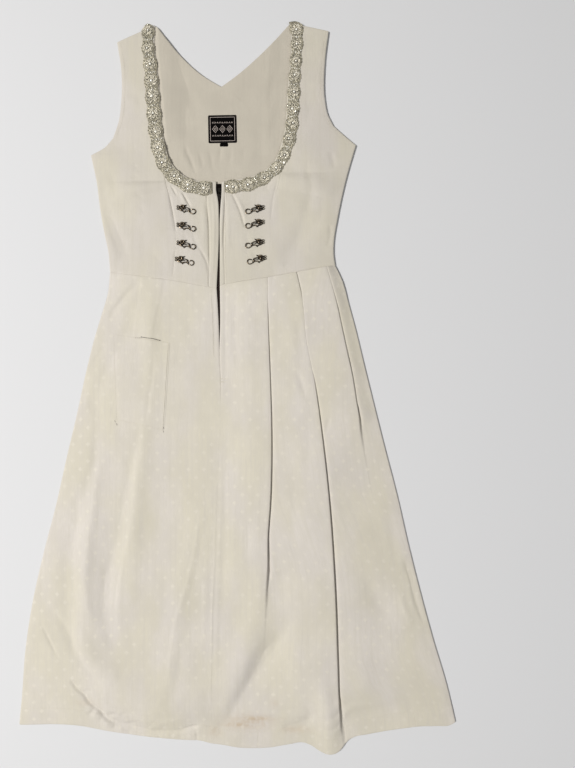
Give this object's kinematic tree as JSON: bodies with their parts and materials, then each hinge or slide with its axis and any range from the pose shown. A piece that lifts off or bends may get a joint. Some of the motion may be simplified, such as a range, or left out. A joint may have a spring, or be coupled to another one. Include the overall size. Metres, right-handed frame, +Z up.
{
  "type": "dirndl dress",
  "caption": "Sleeveless dirndl dress laid flat, with braid round a scoop neck, a hooked bodice with a front zip, and a long skirt with knife pleats and a pocket.",
  "frame": {"origin": "on the surface the dress lies on, under the middle of its outline", "axes": "+Y from the hem to the neck, +X to the viewer's right of the front, +Z up from the back to the front of the dress"},
  "size_m": [0.734, 1.2285, 0.014],
  "materials": {
    "bodice_cloth": "fine plain weave, matte",
    "skirt_cloth": "fine weave with small woven dots, faint sheen",
    "lining_cloth": "plain cotton lining, matte",
    "silver_braid": "silver-grey lurex net with rosettes and beads",
    "antique_metal": "antique dark cast metal, worn bright on its high spots",
    "label_satin": "black woven satin",
    "zip_dark": "dark woven zip tape"
  },
  "bodies": {
    "dress": {"back_bodice": "bodice_cloth", "back_lining": "lining_cloth", "back_skirt": "skirt_cloth", "front_side_left": "bodice_cloth", "front_side_right": "bodice_cloth", "front_centre_left": "bodice_cloth", "front_centre_right": "bodice_cloth", "placket_left": "bodice_cloth", "placket_right": "bodice_cloth", "front_skirt_left": "skirt_cloth", "front_skirt_right": "skirt_cloth", "pocket": "skirt_cloth", "braid_left": "silver_braid", "braid_right": "silver_braid", "hook_left_1": "antique_metal", "hook_left_2": "antique_metal", "hook_left_3": "antique_metal", "hook_left_4": "antique_metal", "hook_right_1": "antique_metal", "hook_right_2": "antique_metal", "hook_right_3": "antique_metal", "hook_right_4": "antique_metal", "label": "label_satin", "size_tab": "label_satin", "zip_tape": "zip_dark", "zip_slider": "antique_metal"},
    "pull_tab": {"zip_pull_tab": "antique_metal"}
  },
  "joints": [
    {"name": "pull_tab_swing", "type": "hinge", "parent": "dress", "child": "pull_tab", "pos_m": [-0.0295, 0.3295, 0.00725], "axis": [-1, 0, 0], "range_deg": [0, 170]}
  ]
}
